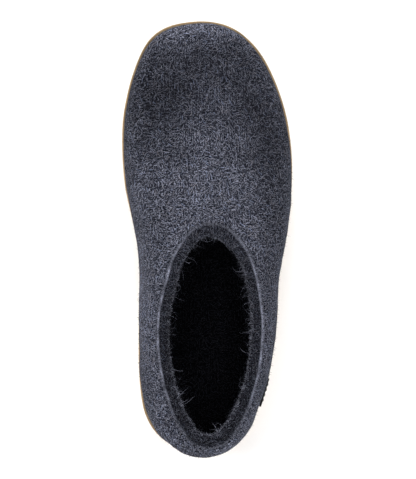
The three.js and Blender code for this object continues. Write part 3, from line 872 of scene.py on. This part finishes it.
class SLIPPER_OT_insole(bpy.types.Operator):
    """Make the felt insole, a little hollowed at the heel and the ball"""

    bl_idname = "slipper.insole"
    bl_label = "Insole"

    def execute(self, context):
        insole = quad_copy("insole", "felt_insole")
        subdivide(insole, 2)
        mesh = insole.data
        points = read_points(mesh)
        depth = patches(points, HOLLOWS) + layered(points, INSOLE_WAVES, np.random.default_rng(8))
        points[:, 2] -= depth * MM * step(points[:, 2], *INSOLE_TOP)
        write_points(mesh, points)
        mesh.shade_smooth()
        looks = context.scene.slipper_felt
        # The insole is the same felt made darker: painted shade for the inside of the slipper
        mesh.materials.append(felt_material("insole_felt", looks, bright=0.35, pale_bright=0.18))
        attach(insole, BODY)
        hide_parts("insole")
        return {"FINISHED"}


# The rubber sole

WALL_SPAN, UPRIGHT = 5 * MM, 0.1  # the sole's outer wall is its only tall upright face
CURVE_PARTS = 4  # new points for each of the solid's on the sole's outline
TREAD_DROP = 1.2 * MM  # the tread lies lower than the solid's wall
LIP_RISE = 0.8 * MM  # the lip stands higher than it

# The wall from the tread to the lip: how far in it lies (millimetres), the share of the way up,
# and what is added to the height (millimetres)
WALL = (
    (2.2, 0, 0), (1.0, 0, 0.12), (0.25, 0, 0.6), (0.0, 0, 1.4), (-0.05, 0.45, 0), (0.05, 1, -2.4),
    (0.3, 1, -2.1), (0.3, 1, -1.8), (0.0, 1, -1.5), (0.02, 1, -0.7), (0.3, 1, -0.12),
)
CUP_LEVELS = (0.0, 0.35, 1.2, 2.6, 4.0, 5.4)  # millimetres below the lip
FELT_GAP = 0.25 * MM
LIP_GAP = 0.3 * MM  # more of it at the lip
LIP_LEAST, LIP_MOST = 0.7 * MM, 5.3 * MM  # how thick the lip may be
CUP_SEARCH = 10 * MM  # the felt is looked for from this far outside the wall
CUP_WALL = 4 * MM  # where there is no felt
GLUE_AND_SHADE_SPAN = (0.8 * MM, 2.3 * MM)  # distances from the felt over which the glue and painted shade on the rubber fade out
SHARP_CORNER = math.radians(40)

GROOVE_FIELDS = ((0.065, 6), (0.575, 11))  # where each starts, and how many grooves it has
GROOVE_PITCH = 9 * MM
GROOVE_WIDTH = 2.4 * MM
GROOVE_SECTION = ((-0.5, -2), (0.5, -2), (0.38, 1.3), (-0.38, 1.3))  # shares of it; millimetres up
GROOVE_WAVE = 1.6 * MM
GROOVE_POINTS = 37
GROOVE_BENDS = 3
GROOVE_BORDER = 12 * MM


def sole_columns():
    """The sole's outline from above with the low and high ends of its wall, heel first."""
    body = solid_body("outsole")
    corners = {}
    for face in body.faces:
        heights = [v.co.z for v in face.verts]
        if abs(face.normal.z) < UPRIGHT and max(heights) - min(heights) > WALL_SPAN:
            for v in face.verts:
                key = (round(v.co.x / MM, 1), round(v.co.y / MM, 1))
                corners.setdefault(key, []).append(v.co.copy())
    body.free()
    columns = [
        (ends[0].x, ends[0].y, min(v.z for v in ends), max(v.z for v in ends))
        for ends in corners.values()
    ]
    columns.sort(key=lambda c: math.atan2(c[0], -c[1]) % (2 * math.pi))
    first = min(range(len(columns)), key=lambda i: columns[i][1])
    return np.array(columns[first:] + columns[:first])


def closed_curve(points, parts):
    """More points on the smooth closed curve through the given ones."""
    before, after, beyond = (np.roll(points, shift, axis=0) for shift in (1, -1, -2))
    rows = []
    for k in range(parts):
        t = k / parts
        rows.append(0.5 * (
            2 * points + (after - before) * t
            + (2 * before - 5 * points + 4 * after - beyond) * t ** 2
            + (3 * points - before - 3 * after + beyond) * t ** 3
        ))
    return np.stack(rows, axis=1).reshape(-1, points.shape[1])


def groove_cutter(columns):
    """All the wavy grooves of the tread as one mesh."""
    body = bmesh.new()
    half = len(columns) // 2
    right, left = columns[: half + 1], columns[half:][::-1]
    for share, count in GROOVE_FIELDS:
        for i in range(count):
            y = along(share) + i * GROOVE_PITCH
            start = np.interp(y, left[:, 1], left[:, 0]) + GROOVE_BORDER
            end = np.interp(y, right[:, 1], right[:, 0]) - GROOVE_BORDER
            tread = np.interp(y, right[:, 1], right[:, 2]) - TREAD_DROP
            x = np.linspace(start, end, GROOVE_POINTS)
            wave = GROOVE_WAVE * np.sin(np.linspace(0, GROOVE_BENDS * math.pi, len(x)))
            rows = []
            for dy, z in GROOVE_SECTION:
                rows.append([
                    body.verts.new((px, y + w + dy * GROOVE_WIDTH, tread + z * MM))
                    for px, w in zip(x, wave)
                ])
            add_tube(body, list(zip(*rows)))
    bmesh.ops.recalc_face_normals(body, faces=body.faces)
    return body_object("groove_cutter", body)


def sole_rings(columns, felt):
    """The sole's rings from the tread over the lip and down the hollow that holds the felt."""
    ahead, behind = np.roll(columns, -1, axis=0), np.roll(columns, 1, axis=0)
    run = ahead[:, :2] - behind[:, :2]
    outward = unit(np.stack([run[:, 1], -run[:, 0]], axis=1))
    tread, lip = columns[:, 2] - TREAD_DROP, columns[:, 3] + LIP_RISE
    rings = []
    for inset, share, more in WALL:
        height = tread * (1 - share) + lip * share + more * MM
        rings.append(np.column_stack([columns[:, :2] - outward * inset * MM, height]))
    shell = search_tree(felt, OUTER)
    for below in CUP_LEVELS:
        ring = []
        for column, direction, z in zip(columns, outward, lip - below * MM):
            start = Vector((*(column[:2] + direction * CUP_SEARCH), z))
            inward = Vector((*-direction, 0))
            hit = shell.ray_cast(start, inward, 4 * CUP_SEARCH)[0]
            thick = (hit - start).length - FELT_GAP - CUP_SEARCH if hit else CUP_WALL
            if below == 0:
                thick = min(max(thick - LIP_GAP, LIP_LEAST), LIP_MOST)
            ring.append(start + inward * (CUP_SEARCH + thick))
        rings.append(np.array([p[:] for p in ring]))
    return rings


def ringed_solid(rings):
    """The closed sole from its rings, of which the ends are spanned from side to side."""
    count = len(rings[0])
    body = bmesh.new()
    rows = [[body.verts.new(point) for point in ring] for ring in rings]
    join_rings(body, rows)
    for row in (rows[0], rows[-1]):
        for j in range(count // 2):
            places = (j, j + 1, (count - j - 1) % count, (count - j) % count)
            body.faces.new([row[i] for i in dict.fromkeys(places)])
    bmesh.ops.recalc_face_normals(body, faces=body.faces)
    return body_object("rubber_sole", body)


class SoleLooks(bpy.types.PropertyGroup):
    colour: FloatVectorProperty(
        name="Rubber", description="Colour of the natural rubber", subtype="COLOR",
        default=(0.31, 0.22, 0.12), min=0, max=1,
    )


class SLIPPER_OT_sole(bpy.types.Operator):
    """Make the rubber cup sole with its lip and its tread"""

    bl_idname = "slipper.sole"
    bl_label = "Rubber sole"

    def execute(self, context):
        felt = bpy.data.objects["felt_upper"].data
        columns = closed_curve(sole_columns(), CURVE_PARTS)
        sole = ringed_solid(sole_rings(columns, felt))
        cutter = groove_cutter(columns)
        cut = sole.modifiers.new("grooves", "BOOLEAN")
        cut.operation = "DIFFERENCE"
        cut.solver = "EXACT"
        cut.object = cutter
        apply_modifiers(sole)
        bpy.data.objects.remove(cutter)
        sole.data.shade_smooth()
        sole.data.set_sharp_from_angle(angle=SHARP_CORNER)
        # Glue and painted shade on the rubber within reach of the felt
        paint(sole.data, "glue_and_shade", nearness(read_points(sole.data), search_tree(felt), *GLUE_AND_SHADE_SPAN))
        sole.data.materials.clear()
        sole.data.materials.append(rubber_material(context.scene.slipper_sole.colour))
        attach(sole, BODY)
        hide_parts("outsole")
        return {"FINISHED"}


# The side tab

STITCH_LENGTH = 2.3 * MM
STITCH_PITCH = 3.3 * MM
STITCH_INSET = 1.7 * MM
THREAD = 0.6 * MM
STITCH_STEPS, STITCH_SIDES = 8, 6
BESIDE = SOLID_BOX[1][0] + 20 * MM  # from where the tab is looked for
STITCH_RISE, STITCH_SINK = 0.7, 0.25  # of its middle and its ends, in shares of the thread
TAB_EDGE, TAB_EDGE_PARTS = 0.28 * MM, 3  # how far its corners are rounded, in how many parts
TAB_CORNER = math.radians(50)  # blunter corners stay


def spaced(low, high):
    """Places one pitch apart between two ends."""
    count = int((high - low - 2 * STITCH_INSET) / STITCH_PITCH)
    return [(low + high) / 2 + (i - (count - 1) / 2) * STITCH_PITCH for i in range(count)]


def stitch_places(low, high):
    """The middles of the stitches round the tab and the directions in which they run."""
    upright, level = ((low[i] + STITCH_INSET, high[i] - STITCH_INSET) for i in (1, 2))
    places = [(y, z, (0, 0, 1)) for y in upright for z in spaced(low[2], high[2])]
    return places + [(y, z, (0, 1, 0)) for z in level for y in spaced(low[1], high[1])]


def add_stitch(body, surface, y, z, run):
    """A short thread that rises out of the leather, lies on it and goes back in."""
    rings = []
    for i in range(STITCH_STEPS + 1):
        t = i / STITCH_STEPS
        start = Vector((BESIDE, y, z)) + Vector(run) * (t - 0.5) * STITCH_LENGTH
        hit, normal, _, _ = surface.ray_cast(start, Vector((-1, 0, 0)))
        if hit is None:
            raise RuntimeError("a stitch misses the tab")
        lift = STITCH_RISE * math.sin(math.pi * t) - STITCH_SINK
        middle = hit + normal * lift * THREAD
        across = Vector(run).cross(normal).normalized()
        ring = []
        for j in range(STITCH_SIDES):
            angle = 2 * math.pi * j / STITCH_SIDES
            outward = across * math.cos(angle) + normal * math.sin(angle)
            ring.append(body.verts.new(middle + outward * THREAD / 2))
        rings.append(ring)
    add_tube(body, rings)


class TabLooks(bpy.types.PropertyGroup):
    leather: FloatVectorProperty(
        name="Leather", description="Colour of the tab", subtype="COLOR",
        default=(0.006, 0.006, 0.0065), min=0, max=1,
    )
    thread: FloatVectorProperty(
        name="Thread", description="Colour of its stitches", subtype="COLOR",
        default=(0.11, 0.11, 0.12), min=0, max=1,
    )


class SLIPPER_OT_tab(bpy.types.Operator):
    """Make the blank leather tab and its stitches"""

    bl_idname = "slipper.tab"
    bl_label = "Side tab"

    def execute(self, context):
        looks = context.scene.slipper_tab
        tab = quad_copy("side_tab", "leather_tab")
        edge = tab.modifiers.new("edge", "BEVEL")
        edge.width = TAB_EDGE
        edge.segments = TAB_EDGE_PARTS
        edge.limit_method = "ANGLE"
        edge.angle_limit = TAB_CORNER
        apply_modifiers(tab)
        subdivide(tab, 1)
        tab.data.shade_smooth()
        tab.data.materials.append(leather_material(looks.leather))
        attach(tab, BODY)
        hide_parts("side_tab")
        surface = search_tree(tab.data)
        body = bmesh.new()
        for y, z, run in stitch_places(*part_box("side_tab")):
            add_stitch(body, surface, y, z, run)
        bmesh.ops.recalc_face_normals(body, faces=body.faces)
        stitches = body_object("tab_stitches", body)
        stitches.data.shade_smooth()
        stitches.data.materials.append(thread_material(looks.thread))
        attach(stitches, BODY)
        return {"FINISHED"}


# The stage

LIGHT_WIDTH = 2.2

# Where the lights hang, the height of each in metres, and its share of the power
LIGHTS = (
    ("left", (-2.7, 0.55, 0.95), 1.1, 1.0),
    ("right", (2.7, -0.2, 0.95), 1.1, 0.7),
    ("front", (-0.4, 2.8, 1.0), 1.1, 1.3),
    ("rear", (0.2, -2.8, 0.95), 1.1, 0.8),
    ("top", (0.0, 0.0, 3.0), 2.2, 0.26),
)
LIGHT_TARGET = Vector((0, 0, 0.03))
CAMERA_TARGET = Vector((-0.6 * MM, -0.8 * MM, 30 * MM))
FLOOR_REACH = 2.5
FLOOR_DROP = 0.05 * MM  # the floor lies just below the tread
FLOOR_TONES = (0.955, 0.955, 0.96), (0.98, 0.98, 0.985)
GLOW_HEIGHTS = (0.1, 0.6)  # where the surroundings start to dim and are dimmest


class StageLooks(bpy.types.PropertyGroup):
    camera_height: FloatProperty(
        name="Camera height", description="Height of the camera above the floor",
        default=1.3, min=0.5, max=5, subtype="DISTANCE", unit="LENGTH",
    )
    camera_tilt: FloatProperty(
        name="Camera tilt", description="How far the camera leans to the shoe's inner side",
        default=math.radians(3), min=0, max=math.radians(45), subtype="ANGLE", unit="ROTATION",
    )
    view_height: FloatProperty(
        name="View", description="Length of floor that the picture's long side takes in",
        default=0.3066, min=0.1, max=2, subtype="DISTANCE", unit="LENGTH",
    )
    key_power: FloatProperty(
        name="Light", description="Power of the strongest light, in watts",
        default=92.0, min=0, max=500,
    )
    horizon_strength: FloatProperty(
        name="Surroundings", description="Brightness of the surroundings at the shoe's level",
        default=1.2, min=0, max=5,
    )
    sky_strength: FloatProperty(
        name="Overhead", description="Brightness of the surroundings overhead",
        default=0.12, min=0, max=5,
    )


class SLIPPER_OT_stage(bpy.types.Operator):
    """Lay the floor and set the soft lights and the camera"""

    bl_idname = "slipper.stage"
    bl_label = "Floor, lights and camera"

    def execute(self, context):
        looks = context.scene.slipper_stage
        self.lay_floor()
        self.hang_lights(looks)
        self.set_camera(context.scene, looks)
        context.scene.world = self.pale_room(looks)
        context.scene.view_settings.view_transform = "Standard"
        return {"FINISHED"}

    def pale_room(self, looks):
        """Surroundings that are bright round the shoe and dim overhead."""
        world = bpy.data.worlds.new("pale_room")
        world.use_nodes = True
        tree = world.node_tree
        sky = add_node(tree, "ShaderNodeTexCoord", {})["Generated"]
        height = add_node(tree, "ShaderNodeSeparateXYZ", {0: sky})["Z"]
        glow = ramp(tree, height, *GLOW_HEIGHTS, looks.horizon_strength, looks.sky_strength)
        background = tree.nodes["Background"].inputs
        connect(tree, background["Strength"], glow)
        background["Color"].default_value = (1, 1, 1, 1)
        return world

    def lay_floor(self):
        mesh = bpy.data.meshes.new("floor")
        signs = ((-1, -1), (1, -1), (1, 1), (-1, 1))
        corners = [(x * FLOOR_REACH, y * FLOOR_REACH, 0) for x, y in signs]
        mesh.from_pydata(corners, [], [(0, 1, 2, 3)])
        floor = add_object("floor", mesh)
        floor.location.z = -FLOOR_DROP
        material, tree, shader = new_material("pale_floor", specular=0.1)
        grain = noise(tree, place(tree), 3 * MM)
        dress(tree, shader, mix(tree, grain, *FLOOR_TONES), 0.9)
        mesh.materials.append(material)

    def hang_lights(self, looks):
        for name, spot, high, share in LIGHTS:
            light = bpy.data.lights.new(name + "_light", "AREA")
            light.shape = "RECTANGLE"
            light.size, light.size_y = LIGHT_WIDTH, high
            light.energy = looks.key_power * share
            lamp = add_object(light.name, light)
            lamp.location = spot
            lamp.visible_camera = False
            lamp.rotation_euler = (LIGHT_TARGET - lamp.location).to_track_quat("-Z", "Y").to_euler()

    def set_camera(self, scene, looks):
        lens = bpy.data.cameras.new("camera")
        scene.camera = camera = add_object("camera", lens)
        rise = looks.camera_height - CAMERA_TARGET.z
        away = Vector((-rise * math.tan(looks.camera_tilt), 0, rise))
        camera.location = CAMERA_TARGET + away
        back = away.normalized()
        across = Vector((0, 1, 0)).cross(back).normalized()  # the toe points up in the picture
        camera.rotation_euler = Matrix((across, back.cross(across), back)).transposed().to_euler()
        lens.sensor_width = 36
        lens.lens = lens.sensor_width * away.length / looks.view_height
        lens.clip_end = 100


class SLIPPER_PT_panel(bpy.types.Panel):
    """Sizes, colours and making of the slipper"""

    bl_idname = "SLIPPER_PT_panel"
    bl_label = "Felt slipper"
    bl_space_type = "VIEW_3D"
    bl_region_type = "UI"
    bl_category = "Slipper"

    def draw(self, context):
        for group, _, operators in GROUPS:
            box = self.layout.box()
            settings = getattr(context.scene, group)
            for name in settings.bl_rna.properties.keys():
                if name not in {"rna_type", "name"}:
                    box.prop(settings, name)
            for operator in operators:
                box.operator(operator.bl_idname)


GROUPS = (
    ("slipper_felt", FeltLooks, (SLIPPER_OT_upper, SLIPPER_OT_insole)),
    ("slipper_fuzz", FuzzLooks, (SLIPPER_OT_fuzz,)),
    ("slipper_sole", SoleLooks, (SLIPPER_OT_sole,)),
    ("slipper_tab", TabLooks, (SLIPPER_OT_tab,)),
    ("slipper_stage", StageLooks, (SLIPPER_OT_stage,)),
)
CLASSES = (
    *(settings for _, settings, _ in GROUPS),
    *(operator for _, _, operators in GROUPS for operator in operators),
    SLIPPER_PT_panel,
)


def register():
    for cls in CLASSES:
        bpy.utils.register_class(cls)
    for name, settings, _ in GROUPS:
        setattr(bpy.types.Scene, name, PointerProperty(type=settings))


def unregister():
    for name, _, _ in GROUPS:
        delattr(bpy.types.Scene, name)
    for cls in reversed(CLASSES):
        bpy.utils.unregister_class(cls)


def main():
    register()
    bpy.ops.slipper.stage()
    bpy.ops.slipper.upper()
    bpy.ops.slipper.insole()
    bpy.ops.slipper.sole()
    bpy.ops.slipper.tab()
    bpy.ops.slipper.fuzz()


if __name__ == "__main__":
    main()
